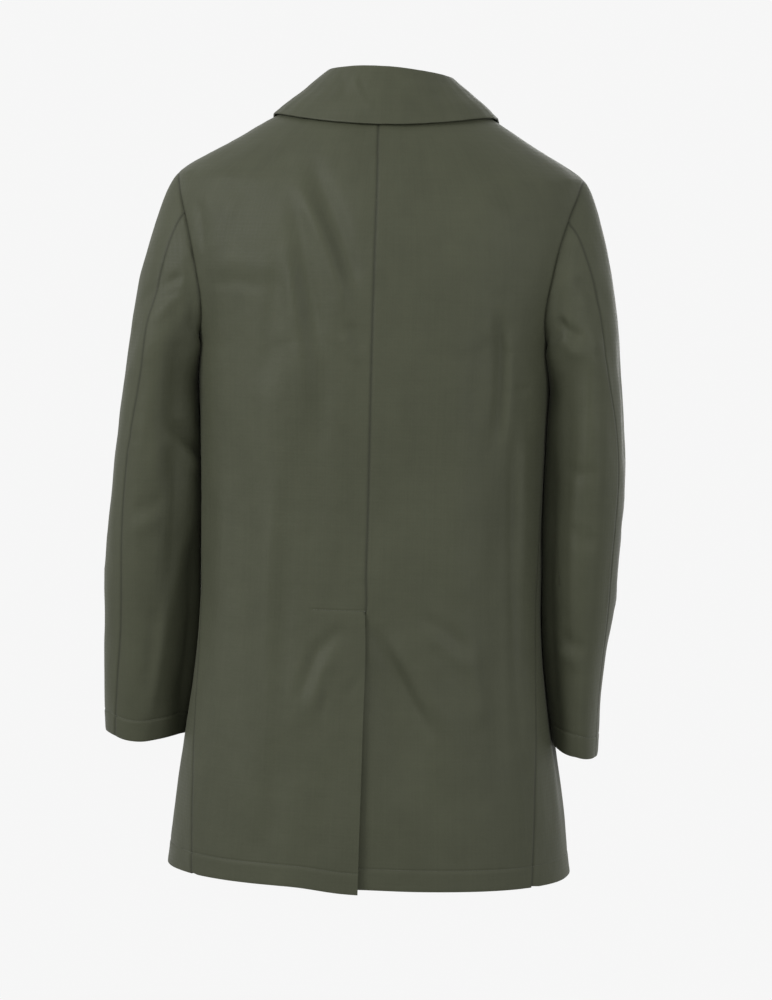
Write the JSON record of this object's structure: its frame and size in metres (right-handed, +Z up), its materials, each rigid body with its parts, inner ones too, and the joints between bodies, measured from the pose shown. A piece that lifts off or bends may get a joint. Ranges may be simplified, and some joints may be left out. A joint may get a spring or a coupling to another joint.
{
  "type": "raincoat",
  "caption": "Short single-breasted raincoat in bonded cotton with a turn-down collar, two-piece sleeves and a back vent, filled out as worn.",
  "frame": {"origin": "middle of the neck opening, level with the points where the shoulder seams meet the collar; the coat hangs from there", "axes": "+Z up, +X towards the wearer's left, -Y towards the front that buttons"},
  "size_m": [0.5889, 0.31, 0.9042],
  "materials": {
    "bonded_cotton": "matt with a faint sheen",
    "button": "satin"
  },
  "bodies": {
    "root": {"back_left": "bonded_cotton", "back_right": "bonded_cotton", "front_left": "bonded_cotton", "front_right": "bonded_cotton", "sleeve_left_top": "bonded_cotton", "sleeve_left_under": "bonded_cotton", "sleeve_right_top": "bonded_cotton", "sleeve_right_under": "bonded_cotton", "collar_stand": "bonded_cotton", "collar_fall": "bonded_cotton", "button_1": "button", "button_2": "button", "button_3": "button", "button_4": "button", "button_5": "button"}
  },
  "joints": []
}
